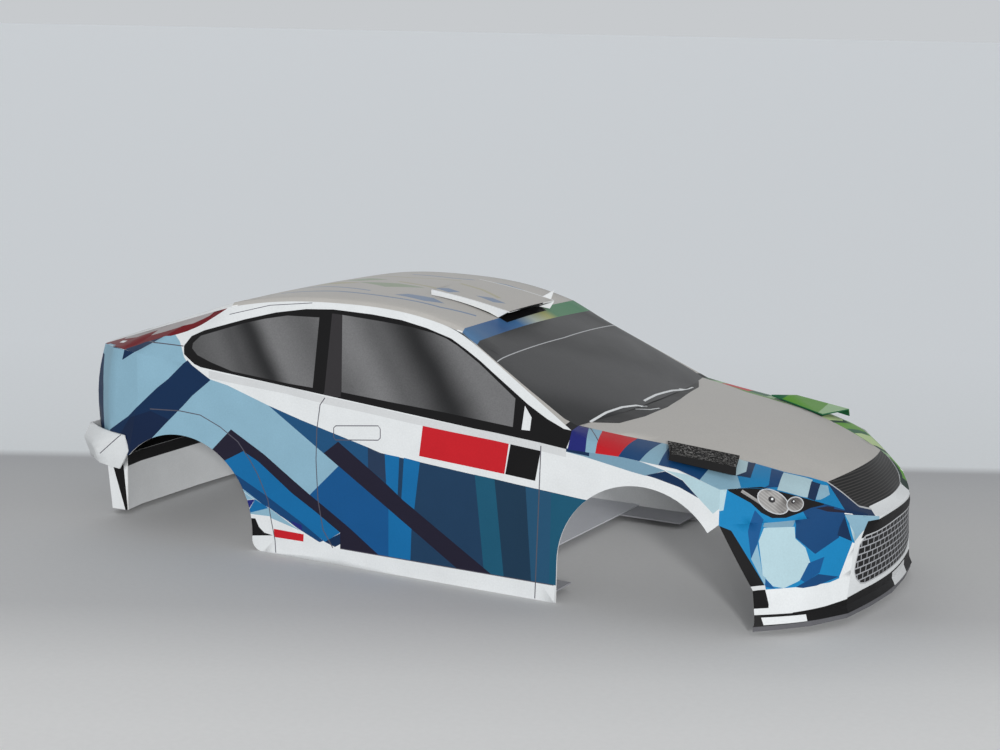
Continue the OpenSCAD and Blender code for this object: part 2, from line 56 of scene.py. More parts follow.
class Graph:
    """A material and the few node recipes that the materials here share. Lengths are in metres."""

    def __init__(self, name):
        self.mat = bpy.data.materials.new(name)
        self.mat.use_nodes = True
        self.tree = self.mat.node_tree
        self.bsdf = self.tree.nodes["Principled BSDF"]
        self.place = self.tree.nodes.new("ShaderNodeTexCoord").outputs["Object"]

    def node(self, kind, **inputs):
        made = self.tree.nodes.new("ShaderNode" + kind)
        for key, value in inputs.items():
            self.plug(value, made.inputs[key.replace("_", " ")])
        return made

    def plug(self, value, socket):
        """Links another node's output to a socket, or gives the socket a plain value."""
        if isinstance(value, bpy.types.NodeSocket):
            self.tree.links.new(value, socket)
        else:
            socket.default_value = value

    def math(self, operation, a, b=0.0, c=0.0):
        made = self.tree.nodes.new("ShaderNodeMath")
        made.operation = operation
        for value, socket in zip((a, b, c), made.inputs):
            self.plug(value, socket)
        return made.outputs[0]

    def cells(self, size):
        """The object's coordinates, scaled so that one unit is size across."""
        return self.node("Mapping", Vector=self.place, Scale=(1 / size,) * 3).outputs[0]

    def noise(self, size, detail=3.0):
        """Noise whose lumps are about size across."""
        return self.node("TexNoise", Vector=self.cells(size), Scale=1.0, Detail=detail).outputs["Fac"]

    def ramp(self, value, stops, smooth=False):
        """Stops are (position, colour): 0-255 display values, or four parts that stay as they are."""
        made = self.tree.nodes.new("ShaderNodeValToRGB")
        self.plug(value, made.inputs[0])
        made.color_ramp.interpolation = "EASE" if smooth else "LINEAR"
        while len(made.color_ramp.elements) < len(stops):
            made.color_ramp.elements.new(1.0)
        for element, (position, colour) in zip(made.color_ramp.elements, stops):
            element.position = position
            element.color = colour if len(colour) == 4 else linear(colour)
        return made.outputs[0]

    def shades(self, value, low, high):
        """Grey factors to multiply a colour by: each of low and high is (position, factor)."""
        return self.ramp(value, [(position, (factor,) * 3 + (1,)) for position, factor in (low, high)])

    def multiply(self, a, b):
        made = self.tree.nodes.new("ShaderNodeMix")
        made.data_type = "RGBA"
        made.blend_type = "MULTIPLY"
        for value, socket in zip((1.0, a, b), MIX_INPUTS):
            self.plug(value, made.inputs[socket])
        return made.outputs[MIX_RESULT]

    def scaled(self, value, low, high):
        """Brings 0 to low and 1 to high; a value beyond either end stays at that end."""
        made = self.node("MapRange", Value=value)
        made.inputs["To Min"].default_value = low
        made.inputs["To Max"].default_value = high
        return made.outputs[0]

    def axis(self, name):
        return self.node("SeparateXYZ", Vector=self.place).outputs[name]

    def bump(self, height, depth):
        made = self.node("Bump", Height=height, Strength=BUMP_STRENGTH, Distance=depth)
        self.plug(made.outputs[0], self.bsdf.inputs["Normal"])

    def paper(self, colour, rough=(0.42, 0.6), grain=0.012 * MM, sheen=0.18):
        """Card under a colour socket: mottled ink, fibres in the bump and a semi-gloss coat."""
        fibres = self.noise(0.35 * MM, 5.0)
        blotch = self.noise(6 * MM, 2.0)
        speck = self.shades(fibres, (0.3, 0.96), (0.7, 1.03))
        worn = self.shades(blotch, (0.25, 0.96), (0.75, 1.02))
        self.plug(self.multiply(self.multiply(colour, speck), worn), self.bsdf.inputs["Base Color"])
        self.plug(self.scaled(blotch, *rough), self.bsdf.inputs["Roughness"])
        self.bsdf.inputs["Specular IOR Level"].default_value = sheen
        self.bump(fibres, grain)
        return self.mat


def ink(name, rgb, **look):
    """Card in one colour, printed or bare."""
    g = Graph("ink_" + name)
    base = g.node("RGB")
    base.outputs[0].default_value = linear(rgb)
    return g.paper(base.outputs[0], **look)


def printed_glass(name, along, start, stops):
    """Grey print of a tinted window: soft reflections across it, and a coarse dither. A point's place on the
    ramp is start, plus each axis times its weight in along."""
    g = Graph("print_" + name)
    grain, sway = 0.09, 0.05
    total = start
    for axis, weight in along.items():
        total = g.math("MULTIPLY_ADD", g.axis(axis), weight, total)
    wander = g.math("MULTIPLY", g.math("SUBTRACT", g.noise(20 * MM, 2.0), 0.5), sway)
    tone = g.ramp(g.math("ADD", total, wander), stops, smooth=True)
    dither = g.shades(g.noise(0.3 * MM, 2.0), (0.3, 1 - grain), (0.7, 1 + grain))
    return g.paper(g.multiply(tone, dither), rough=(0.4, 0.5), sheen=0.25)


def greys(*stops):
    """Ramp stops in faintly blue greys, each written (position, value)."""
    return [(position, (value, value, value + 1)) for position, value in stops]


# Printed colours: on the right side, and then what takes their place on the left side
INKS = {
    "sky": ((135, 173, 192), (150, 186, 140)), "pale": ((172, 199, 207), (186, 208, 150)),
    "haze": ((116, 150, 170), (96, 128, 104)), "azure": ((15, 102, 157), (88, 146, 48)),
    "cyan": ((19, 123, 176), (96, 154, 50)), "blue": ((16, 80, 134), (54, 116, 54)),
    "mid": ((16, 64, 110), (32, 94, 60)), "navy": ((14, 42, 76), (18, 60, 44)),
    "deep": ((14, 33, 64), (16, 44, 36)), "night": ((30, 27, 44), (22, 29, 28)),
    "royal": ((32, 38, 112), (28, 78, 42)), "steel": ((28, 76, 116), (42, 104, 80)),
    "slate": ((27, 57, 86), (32, 78, 66)), "dusk": ((36, 54, 80), (28, 60, 52)),
    "teal": ((24, 82, 108), (58, 118, 80)), "gloom": ((25, 53, 76), (22, 58, 48)),
    "sea": ((34, 78, 108), (44, 98, 72)), "card": ((220, 223, 224), (220, 223, 224)),
    "pearl": ((205, 207, 208), (205, 207, 208)), "black": ((15, 14, 15), (15, 14, 15)),
    "soot": ((48, 46, 48), (48, 46, 48)), "red": ((190, 28, 38), (190, 28, 38)),
    "lamp_red": ((106, 20, 28), (106, 20, 28)), "lens": ((164, 158, 158), (164, 158, 158)),
    "line": ((84, 82, 92), (84, 82, 92)), "silver": ((184, 186, 188), (184, 186, 188)),
    # Painted shade: the tops' base is white card printed grey, because the tops take less light than the
    # sides
    "hood": ((185, 182, 177), (185, 182, 177)), "faint_gold": ((176, 172, 148), (176, 172, 148)),
    "faint_blue": ((128, 144, 168), (128, 144, 168)), "faint_green": ((152, 164, 142), (152, 164, 142)),
}


def make_inks(side):
    """One material for each ink; an ink that both sides print alike is shared."""
    made = {}
    for name, (right_colour, left_colour) in INKS.items():
        shared = right_colour == left_colour
        title = name if shared or side == RIGHT else name + "_left"
        found = bpy.data.materials.get("ink_" + title)
        made[name] = found or ink(title, right_colour if side == RIGHT else left_colour)
    return made


PALETTE = {side: make_inks(side) for side in (RIGHT, LEFT)}
SLAT_PITCH = 0.44 * MM
FLUTE_PITCH = 0.6 * MM
SUN_STRIP_WIDTH = 56 * MM


def grille_slats():
    """Thin grey slats across the nose, printed on black."""
    g = Graph("print_slats")
    wave = g.math("SINE", g.math("MULTIPLY", g.axis("Z"), 2 * math.pi / SLAT_PITCH))
    tone = g.ramp(g.scaled(wave, 0.0, 1.0), [(0.35, (22, 21, 21)), (0.8, (60, 58, 56))])
    return g.paper(tone, rough=(0.4, 0.5))


def grille_mesh():
    """Staggered dark holes in a silver net."""
    g = Graph("print_net")
    flat = g.node("CombineXYZ", X=g.axis("Y"), Y=g.axis("Z"))
    holes = g.node("TexBrick", Vector=flat.outputs[0], Scale=1.0, Color1=linear((15, 14, 16)),
                   Color2=linear((24, 23, 25)), Mortar=linear((168, 170, 174)), Mortar_Size=0.17 * MM,
                   Mortar_Smooth=0.5, Brick_Width=2.2 * MM, Row_Height=1.3 * MM)
    return g.paper(holes.outputs["Color"], rough=(0.35, 0.5))


def sparkling_black():
    """Print of a coarse black grille that glitters: silver specks of many sizes."""
    g = Graph("print_sparkle")
    grains = g.node("TexVoronoi", Vector=g.cells(MM / 3.8), Scale=1.0)
    specks = g.ramp(grains.outputs["Color"],
                    [(0.35, (20, 19, 20)), (0.6, (66, 65, 64)), (0.95, (165, 163, 160))])
    patches = g.shades(g.noise(3.5 * MM), (0.35, 0.55), (0.65, 1.0))
    return g.paper(g.multiply(specks, patches), rough=(0.7, 0.85), grain=0.03 * MM, sheen=0.04)


def lamp_lens():
    """Printed reflector of a headlight: fine grey flutes over a shaded bowl."""
    g = Graph("print_reflector")
    across = g.math("ADD", g.axis("X"), g.axis("Z"))
    flutes = g.math("SINE", g.math("MULTIPLY", across, 2 * math.pi / FLUTE_PITCH))
    bowl = g.ramp(g.noise(4 * MM, 1.0), [(0.3, (84, 80, 78)), (0.6, (158, 156, 154))], smooth=True)
    lines = g.shades(g.scaled(flutes, 0.0, 1.0), (0.2, 0.8), (0.8, 1.1))
    return g.paper(g.multiply(bowl, lines), rough=(0.25, 0.4), sheen=0.5)


def sun_strip():
    """Band across the top of the windscreen, blue on the right through yellow to green on the left."""
    g = Graph("print_sun_strip")
    stops = [(0.0, (84, 118, 152)), (0.25, (56, 92, 138)), (0.38, (70, 116, 164)), (0.5, (182, 192, 182)),
             (0.62, (168, 170, 108)), (0.68, (88, 132, 100)), (1.0, (72, 126, 92))]
    return g.paper(g.ramp(g.math("MULTIPLY_ADD", g.axis("Y"), 1 / SUN_STRIP_WIDTH, 0.5), stops))


SIDE_GLASS_STOPS = greys((0.0, 80), (0.1, 92), (0.17, 72), (0.235, 36), (0.31, 112), (0.44, 90), (0.55, 114),
                         (0.64, 86), (0.75, 34), (0.86, 110), (1.0, 108))
SCREEN_STOPS = greys((0.0, 34), (0.2, 68), (0.42, 66), (0.55, 46), (0.8, 62), (1.0, 30))

# Card without print
EDGE = ink("cut_edge", (236, 237, 236), rough=(0.7, 0.85), sheen=0.1)
INSIDE = ink("inside_card", (206, 208, 209), rough=(0.7, 0.85), sheen=0.15)
INSIDE_BLACK = ink("inside_black", (20, 20, 21), rough=(0.6, 0.8), sheen=0.2)
# Painted shade: the floor plate's bare card, printed darker because it lies low and takes light only at a
# graze
SHADED_FLOOR_CARD = ink("shaded_floor_card", (196, 198, 204), rough=(0.55, 0.75), sheen=0.1)
# Painted shade: the sill flaps' bare card, printed darker because they sit in shade under the body
SHADED_FLAP_CARD = ink("shaded_flap_card", (158, 159, 164), rough=(0.55, 0.75), sheen=0.1)

# What isn't among the inks
ART = {
    # The reflections lean: on the side they follow x + 1.07 z, from -0.012 to 0.068 m
    "glass": printed_glass("side_glass", {"X": 12.5, "Z": 13.4}, 0.15, SIDE_GLASS_STOPS),
    "screen": printed_glass("screen_glass", {"Y": 12.0, "X": -14.0}, 0.82, SCREEN_STOPS),
    "slats": grille_slats(), "net": grille_mesh(), "sparkle": sparkling_black(), "reflector": lamp_lens(),
    "sun_strip": sun_strip(), "inside": INSIDE,
}


LEFT_MARK = "left_"


def material_of(name, side):
    """Prints named left_... belong to the left half of a panel that crosses the car."""
    if name.startswith(LEFT_MARK):
        return material_of(name.removeprefix(LEFT_MARK), LEFT)
    return ART.get(name) or PALETTE[side][name]


# ---------------------------------------------------------------- printing on card


class View:
    """A flat sheet laid over a panel: points on it are (a, b) in millimetres, looking against out.
    Faces take its prints when their normal's part along out is above facing. With back, the card's back
    takes them too."""

    def __init__(self, a, b, out, origin=(0, 0, 0), facing=0.1, back=False):
        self.a, self.b, self.out = Vector(a), Vector(b), Vector(out)
        self.origin = Vector(origin)
        self.facing = facing
        self.back = back

    def flat(self, point):
        """Where a point of the model, in metres, falls on the sheet."""
        place = point / MM - self.origin
        return (place.dot(self.a), place.dot(self.b))

    def solid(self, a, b):
        """The point of the model, in metres, that lies under a point of the sheet."""
        return (self.origin + self.a * a + self.b * b) * MM

    def plane(self, start, end):
        """Point and normal of the plane through an edge, square to the sheet."""
        first, second = self.solid(*start), self.solid(*end)
        return first, (second - first).cross(self.a.cross(self.b)).normalized()


def side_view(side, facing=0.1):
    """Sheet along a side: its points are (x, z)."""
    return View((1, 0, 0), (0, 0, 1), (0, side, 0), facing=facing)


def top_view(side):
    """Sheet over one half of the car: its points are (x, distance from the middle)."""
    return View((1, 0, 0), (0, side, 0), (0, 0, 1))


CORNER_X, CORNER_Y = 66, 36  # where the bumper's corner starts at the front arch
CORNER_RUN, CORNER_TURN = 20.5, 17  # how far it goes forward, and inward, on its way to the nose


def corner_view(side):
    """Sheet along the bumper corner, from the front arch towards the nose."""
    along = Vector((CORNER_RUN, -side * CORNER_TURN, 0)).normalized()
    out = (-side * along.y, side * along.x, 0)
    return View(along, (0, 0, 1), out, origin=(CORNER_X, side * CORNER_Y, 0))


FRONT = View((0, 1, 0), (0, 0, 1), (1, 0, 0))
BACK = View((0, 1, 0), (0, 0, 1), (-1, 0, 0))
TOP = View((1, 0, 0), (0, 1, 0), (0, 0, 1))


def inside_outline(point, outline):
    """Whether a flat point lies inside: a line from it crosses the outline an odd number of times."""
    x, y = point
    found = False
    for (x0, y0), (x1, y1) in zip(outline, outline[1:] + outline[:1]):
        if (y0 > y) != (y1 > y) and x < x0 + (y - y0) * (x1 - x0) / (y1 - y0):
            found = not found
    return found


TOUCH = 1e-4  # mm; what only touches a line by less than this isn't cut
SNAP = 1e-8  # m; a corner this near to a cut is on it


def crosses(corners, start, end):
    """Whether the edge start-end may cut the face with these flat corners."""
    dx, dy = end[0] - start[0], end[1] - start[1]
    length = math.hypot(dx, dy)
    if length < TOUCH:
        return False
    along = [((x - start[0]) * dx + (y - start[1]) * dy) / length for x, y in corners]
    across = [((x - start[0]) * dy - (y - start[1]) * dx) / length for x, y in corners]
    return max(along) > TOUCH and min(along) < length - TOUCH and max(across) > TOUCH and min(across) < -TOUCH


def paint(bm, view, outline, slot, blank):
    """Cuts the faces that look towards the view along the outline, and gives what lies inside it to a slot.
    Faces whose slot is blank or later take no print."""
    low = [min(p[k] for p in outline) for k in (0, 1)]
    high = [max(p[k] for p in outline) for k in (0, 1)]
    near = []
    for face in bm.faces:
        if face.material_index >= blank or face.normal.dot(view.out) < view.facing:
            continue
        corners = [view.flat(v.co) for v in face.verts]
        if all(max(c[k] for c in corners) > low[k] and min(c[k] for c in corners) < high[k] for k in (0, 1)):
            near.append(face)
    for start, end in zip(outline, outline[1:] + outline[:1]):
        hit = [f for f in near if crosses([view.flat(v.co) for v in f.verts], start, end)]
        if not hit:
            continue
        point, normal = view.plane(start, end)
        parts = set(hit)
        parts.update(e for f in hit for e in f.edges)
        parts.update(v for f in hit for v in f.verts)
        cut = bmesh.ops.bisect_plane(bm, geom=list(parts), dist=SNAP, plane_co=point, plane_no=normal)
        near = list(set(near) | {g for g in cut["geom"] if isinstance(g, bmesh.types.BMFace)})
    for face in near:
        if inside_outline(view.flat(face.calc_center_median()), outline):
            face.material_index = slot


def stroke(points, width):
    """Outline of a thin line through the points."""
    left, right = [], []
    for i, (x, y) in enumerate(points):
        a, b = points[max(i - 1, 0)], points[min(i + 1, len(points) - 1)]
        dx, dy = b[0] - a[0], b[1] - a[1]
        length = math.hypot(dx, dy)
        left.append((x - dy / length * width / 2, y + dx / length * width / 2))
        right.append((x + dy / length * width / 2, y - dx / length * width / 2))
    return left + right[::-1]


def ellipse(centre, long, short, lean=0.0, steps=24):
    """Outline with half axes long and short; lean turns it, in degrees."""
    turn = math.radians(lean)
    return [(centre[0] + long * math.cos(t) * math.cos(turn) - short * math.sin(t) * math.sin(turn),
             centre[1] + long * math.cos(t) * math.sin(turn) + short * math.sin(t) * math.cos(turn))
            for t in (2 * math.pi * k / steps for k in range(steps))]


# ---------------------------------------------------------------- card pieces from the frame

WELD = 1e-6  # m; corners this near to each other are one
TIE = 1e-9  # m; lengths this near to each other count as equal
FOLD = math.radians(24)  # a sharper turn than this is a fold of the card
RIM_FOLD = math.radians(50)  # a cut edge's corners are sharper than this
SHADING_FOLD = math.radians(35)
RIM_WIDTH = 1.3 * CARD
AXIS_Z = 18 * MM  # height of a line along the car's middle; the outer face of a card looks away from it
LENGTHWISE = 0.35  # how much of the distance along the car counts in that
# A corner beyond this y lies in the flat skin of a side
FLAT_SIDE = max(v.co.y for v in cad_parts["side_left"].data.vertices) - 0.1 * MM


def linked(name, bm, materials):
    """A scene object with the mesh that bm holds."""
    mesh = bpy.data.meshes.new(name)
    bm.to_mesh(mesh)
    bm.free()
    for material in materials:
        mesh.materials.append(material)
    made = bpy.data.objects.new(name, mesh)
    bpy.context.collection.objects.link(made)
    return made


def cage_of(node):
    """The node's mesh, welded, with the diagonals of its flat grid taken out again."""
    bm = bmesh.new()
    bm.from_mesh(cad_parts[node].data)
    bmesh.ops.remove_doubles(bm, verts=bm.verts, dist=WELD)
    diagonals = []
    for edge in bm.edges:
        if len(edge.link_faces) == 2 and edge.calc_face_angle(math.pi) < FOLD:
            longest = all(edge.calc_length() >= max(e.calc_length() for e in f.edges) - TIE
                          for f in edge.link_faces)
            if longest and all(len(f.verts) == 3 for f in edge.link_faces):
                diagonals.append(edge)
    bmesh.ops.dissolve_edges(bm, edges=diagonals, use_verts=False)
    return bm


def smoothed(bm, levels, name):
    """Subdivides a cage. Folds and rims stay sharp; rear corners stay put where they meet the flat side."""
    pins = bm.verts.layers.float.new("crease_vert")
    for vert in bm.verts:
        vert[pins] = 1.0 if name.startswith("rear_corner") and abs(vert.co.y) > FLAT_SIDE else 0.0
    crease = bm.edges.layers.float.get("crease_edge") or bm.edges.layers.float.new("crease_edge")
    for edge in bm.edges:
        sharp = len(edge.link_faces) != 2 or edge.calc_face_angle(math.pi) > FOLD
        edge[crease] = 1.0 if sharp else 0.0
    temporary = linked(name + "_cage", bm, [])
    modifier = temporary.modifiers.new("smooth", "SUBSURF")
    modifier.levels = modifier.render_levels = levels
    evaluated = temporary.evaluated_get(bpy.context.evaluated_depsgraph_get())
    result = bmesh.new()
    result.from_mesh(evaluated.to_mesh())
    evaluated.to_mesh_clear()
    bpy.data.objects.remove(temporary)
    return result


def faces_out(face):
    """Whether a face is on the outside of the shell: it looks away from the car's middle."""
    centre = face.calc_center_median()
    return Vector((centre.x * LENGTHWISE, centre.y, centre.z - AXIS_Z)).dot(face.normal) > 0


def mark_rims(bm, slot):
    """Faces across the card's thickness: narrow, with a sharp fold on both long sides."""
    for face in bm.faces:
        sharp = [e for e in face.edges if e.is_manifold and e.calc_face_angle(0.0) > RIM_FOLD]
        width = face.calc_area() / max(e.calc_length() for e in face.edges)
        if len(sharp) >= 2 and width < RIM_WIDTH:
            face.material_index = slot


def card_piece(node, side, views, base="card", inner=INSIDE, rim=EDGE, levels=2,
               both=False):
    """A printed card sheet in a node's place. views is a list of (View, [(colour, outline), ...]). base is
    the colour of what they leave free, inner the material of the back, and rim that of the cut edges. With
    both, the back is printed as well."""
    bm = cage_of(node)
    if levels:
        bm = smoothed(bm, levels, node)
    bm.normal_update()
    names = [base]
    for view, prints in views:
        names += [colour for colour, outline in prints if colour not in names]
    materials = [material_of(name, side) for name in names] + [rim, inner]
    edge_slot, inside_slot = len(names), len(names) + 1
    for face in bm.faces:
        face.material_index = 0 if both or faces_out(face) else inside_slot
    mark_rims(bm, edge_slot)
    for view, prints in views:
        for colour, outline in prints:
            paint(bm, view, outline, names.index(colour), inside_slot + 1 if view.back else edge_slot)
    piece = linked(node + "_card", bm, materials)
    piece.data.shade_smooth()
    piece.data.set_sharp_from_angle(angle=SHADING_FOLD)
    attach(piece, BODY)
    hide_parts(node)


def walls(bm, loop, other):
    """Faces between two loops of corners that lie over each other."""
    for i in range(len(loop)):
        j = (i + 1) % len(loop)
        bm.faces.new((other[j], other[i], loop[i], loop[j]))


def loose(name, bm, material):
    """A piece of card that the frame doesn't have."""
    bmesh.ops.recalc_face_normals(bm, faces=bm.faces)
    piece = linked(name, bm, [material])
    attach(piece, BODY)


def thick_triangle(bm, corners, across):
    """A triangle of card with its thickness laid along across."""
    half = Vector(across).normalized() * CARD / 2
    front, back = ([bm.verts.new(Vector(c) * MM + shift) for c in corners] for shift in (half, -half))
    bm.faces.new(front)
    bm.faces.new(back[::-1])
    walls(bm, back, front)


# ---------------------------------------------------------------- what is printed on the side

BELT = [(-50, 38), (-45, 37.6), (-30, 36.7), (-20, 35.6), (-10, 34.9), (0, 34), (10, 33.3), (20, 32.7),
        (30, 31.9), (36, 31.3)]
SILL_Z = 3.6


def under(points, depth):
    """Band between a line and the same line lower down."""
    return points + [(x, z - depth) for x, z in points[::-1]]


SIDE_PRINTS = [
    # Rear quarter
    ("sky", [(-96, 44.7), (-63, 44.7), (-60, 43), (-58.7, 41.8), (-57.3, 40.2), (-55, 38.5), (-52, 37.2),
             (-49.5, 36.1), (-45, 35.3), (-34.4, 32.1), (-16.7, 21.2), (-28, 10), (-96, 10)]),
    ("navy", [(-78, 40.2), (-73.6, 40.2), (-74.3, 37.8), (-69.8, 40.3), (-63.2, 44.6), (-70, 44.6),
              (-78, 42)]),
    ("navy", [(-56, 39.6), (-49.5, 36), (-54.5, 32), (-57, 29.5), (-60, 26.7), (-63.5, 23.5), (-66, 21),
              (-70, 15), (-84, 15), (-79.5, 21), (-72.5, 25.4), (-64, 32.8), (-61, 35)]),
    ("deep", [(-72, 25.2), (-66, 27.4), (-60.8, 26), (-66, 21), (-70, 15), (-76.5, 19.5)]),
    # Facets below the door glass
    ("slate", [(-34.4, 32.1), (-26, 29.9), (-16, 27.6), (-6.5, 25.3), (14, 23.7), (40, 21.8), (40, SILL_Z),
               (12, SILL_Z), (-4.5, 13.8), (-16.7, 21.2)]),
    ("steel", [(-34.4, 32.1), (-26, 29.9), (-16, 27.6), (-9.5, 26.1), (-9.4, 21.5), (-16.8, 26.4),
               (-20.4, 23.5)]),
    ("dusk", [(-9.5, 26.1), (-6.5, 25.3), (-5.4, 25.2), (-5, 19.5), (-9.4, 21.7)]),
    ("azure", [(-5.4, 25.2), (-1.9, 25), (-2.2, 17), (-5, 19)]),
    ("azure", [(-0.8, 25), (3, 24.6), (1.8, 14.5), (-1.3, 16.3)]),
    ("teal", [(15.8, 23.6), (20.3, 23.3), (22.8, SILL_Z), (18.3, SILL_Z)]),
    ("gloom", [(20.3, 23.3), (27.3, 22.7), (29, SILL_Z), (22.8, SILL_Z)]),
    ("sea", [(27.3, 22.7), (33, 22.2), (33, SILL_Z), (29, SILL_Z)]),
    ("teal", [(33, 22.2), (42, 21.7), (36, SILL_Z), (33, SILL_Z)]),
    ("blue", [(-16.6, 21.3), (-24.6, 13.4), (-20.5, 12.2), (-14, 8.4), (-6.7, SILL_Z), (1, SILL_Z),
              (1.2, 9.6), (-4.5, 13.8), (-12, 18.6)]),
    ("azure", [(-4.4, 14.4), (1.2, 10.9), (1, SILL_Z), (-4.3, SILL_Z)]),
    ("slate", [(1.2, 10.9), (12.6, SILL_Z), (1, SILL_Z)]),
    ("night", [(-16.8, 26.4), (-6, 19.6), (-0.8, 16), (20, SILL_Z), (12, SILL_Z), (-4.5, 13.8),
               (-20.4, 23.5)]),
    # Low stripes ahead of the rear arch
    ("night", [(-44.2, 25.8), (-50.2, 19.8), (-52, 14), (-47.5, 17.9), (-41, 21.4), (-37, 19.6),
               (-28.5, 13.9), (-22.7, 10.8), (-16.2, 7), (-16.2, SILL_Z), (-6.7, SILL_Z), (-14, 8.4),
               (-20.5, 12.2), (-24, 14.2), (-28.9, 17.2), (-35.6, 21.4)]),
    ("azure", [(-47.5, 17.9), (-41, 21.4), (-37, 19.6), (-28.5, 13.9), (-22.7, 10.8), (-16.2, 7), (-20, 4.4),
               (-26.5, 8), (-35, 12.4), (-46, 17.3)]),
    ("mid", [(-46.5, 17.6), (-35, 12.4), (-26.5, 8.1), (-20.4, 4.6), (-21.5, 4.1), (-26, 5.9), (-30, 7.9),
             (-36, 10.4), (-44, 14.6), (-47, 16)]),
    ("royal", [(-28.6, 7.8), (-26, 7.3), (-25.7, 5.9), (-28.2, 7)]),
    ("navy", [(-19.5, 4.8), (-16.2, 6.9), (-16.2, 4.5), (-17.5, 3.7), (-20, 4.4)]),
    ("card", [(-44, 13.8), (-36, 10.3), (-34.3, 9.9), (-28, 6.8), (-21.5, 4.2), (-17.2, 3.55), (-17, -1),
              (-42, -1)]),
    ("sky", [(-43.2, 13.4), (-38.3, 11.2), (-41.4, 10.5)]),
    ("royal", [(-41.5, 10.4), (-38, 11.2), (-40.4, 7.7)]),
    ("azure", [(-38, 11.2), (-34.4, 9.8), (-40.1, 7.8)]),
    ("sky", [(-34.4, 9.8), (-40.1, 7.8), (-34, 8)]),
    ("sky", [(-34.2, 9.8), (-28, 6.7), (-26, 5.9), (-34, 7.7)]),
    ("black", [(-40.6, 6.8), (-37.9, 7), (-37, 5.3), (-35.6, 4.2), (-33.3, 3.9), (-40, 2.9)]),
    ("red", [(-33.1, 5.4), (-25.4, 5.3), (-25.5, 3.7), (-33, 3.6)]),
    # Blank plates on the front door
    ("red", [(3.6, 32.2), (23.4, 31), (22.5, 24.6), (2.8, 25.8)]),
    ("black", [(23.8, 31), (30.5, 30.4), (29.4, 24.1), (22.7, 24.6)]),
    # Front shoulder
    ("haze", [(31, 31.4), (40, 30.3), (50, 28.6), (53, 28.2), (57, 29.7), (50, 31.2), (40, 31.5)]),
    ("navy", [(53, 28.3), (57, 29.6), (60.6, 28.3), (64, 25.3), (60, 26.9), (55, 28)]),
    ("pale", [(57, 29.8), (60.6, 28.4), (64, 25.3), (67, 22.7), (68.4, 24), (68.4, 28), (62, 29.5)]),
    ("navy", [(30.8, 31.6), (41, 31.2), (41, 30.5), (31, 31.2)]),
    # Painted shade: a grey band just under the belt line, where the card curves over the fold
    ("pearl", under(BELT, 1.6)),
    # Seams of the doors and flares
    ("line", stroke([(-20.1, 35.3), (-21.3, 33.7), (-22.1, 28.3), (-22.3, 21.8), (-21.8, 13.3), (-20.5, 7),
                     (-18, 3.4)], 0.22)),
    ("line", stroke([(30.5, 31.3), (30.2, 15), (29.9, 0.2)], 0.22)),
    ("line", stroke([(-66.1, 27.8), (-57.9, 28.3), (-52.4, 28), (-47.1, 26), (-42.4, 23.3), (-39.3, 19.7),
                     (-37.2, 16.7), (-34.6, 11.5), (-33.8, 7.3), (-32.8, 3), (-32.6, 0.2)], 0.22)),
    ("line", stroke([(-70, 42.3), (-58.5, 42.2)], 0.2)),
    ("line", stroke([(-16.2, 3.55), (34, 3.55)], 0.18)),
    ("line", stroke([(-17.4, 29.7), (-7, 30.9), (-6.5, 30.3), (-6.5, 28.4), (-7, 27.9), (-17.4, 26.7),
                     (-17.9, 27.2), (-17.9, 29.2), (-17.4, 29.7)], 0.2)),
    ("navy", [(-88, 38.5), (-83.2, 37.5), (-82.6, 30), (-83.4, 21), (-84, 13), (-88, 13)]),
]

# Tail lamp on the slope above the rear quarter, seen from above
LAMP_PRINTS = [
    ("lamp_red", [(-88, 28), (-88, 33), (-81.2, 32.4), (-79, 33.8), (-73.6, 36.4), (-69.5, 34.5),
                  (-63.1, 33.8), (-56.3, 31.8), (-49.5, 29.2), (-49.5, 28)]),
    ("lens", [(-78, 31.4), (-70, 32.4), (-62, 32), (-55, 30.3), (-53, 29), (-53, 28), (-79, 28)]),
    ("card", [(-78, 33.1), (-76.3, 33.7), (-75.9, 32.9), (-77.6, 32.3)]),
    ("card", [(-75.4, 33.9), (-73.7, 34.3), (-73.4, 33.5), (-75.1, 33.1)]),
]

# At the lamp's fold the back of the card shows, and is printed as well
LAMP_BACK = [("lamp_red", [(-82, 29), (-82, 36), (-76, 37.5), (-66, 37.5), (-66, 29)])]

WINDOW_PRINTS = [
    ("black", [(-58.4, 42.3), (-57.5, 44.3), (-54.7, 45.7), (-50, 47.2), (-45, 48.8), (-38, 50.7),
               (-31, 51.9), (-24.5, 52.3), (-15, 52), (-8, 51.4), (-2, 50.3), (4, 48.7), (8, 46.9),
               (12, 45), (15, 43.4), (20, 40.8), (25, 38.2), (30, 36), (34, 34.6), (36, 34.4)] + BELT[::-1]
               + [(-54, 39), (-57.5, 40.7)]),
    ("glass", [(-56.3, 43), (-55, 44.6), (-50, 46.3), (-45, 48), (-40, 49.3), (-35, 50.3), (-27.2, 50.5),
               (-23.5, 37), (-30, 37.3), (-44, 38.4), (-50, 39.7), (-54, 40.8), (-56, 42)]),
    ("soot", [(-24.5, 51.5), (-21.5, 51.4), (-16.3, 35.8), (-20.3, 35.8)]),
    ("glass", [(-22, 51.4), (-12, 50.8), (-5, 50.2), (0, 49.4), (3, 48.6), (6, 47.4), (12, 44.5), (18, 41.2),
               (22, 39), (23.5, 34), (8, 35.2), (-5, 36), (-16.5, 36.8)]),
    ("card", [(24.5, 37.9), (26.7, 36), (27.3, 33.7), (25.5, 33.7)]),
    ("line", stroke([(-49.5, 49.4), (-40, 52), (-30, 53.2)], 0.15)),
]

# ---------------------------------------------------------------- what is printed on the front

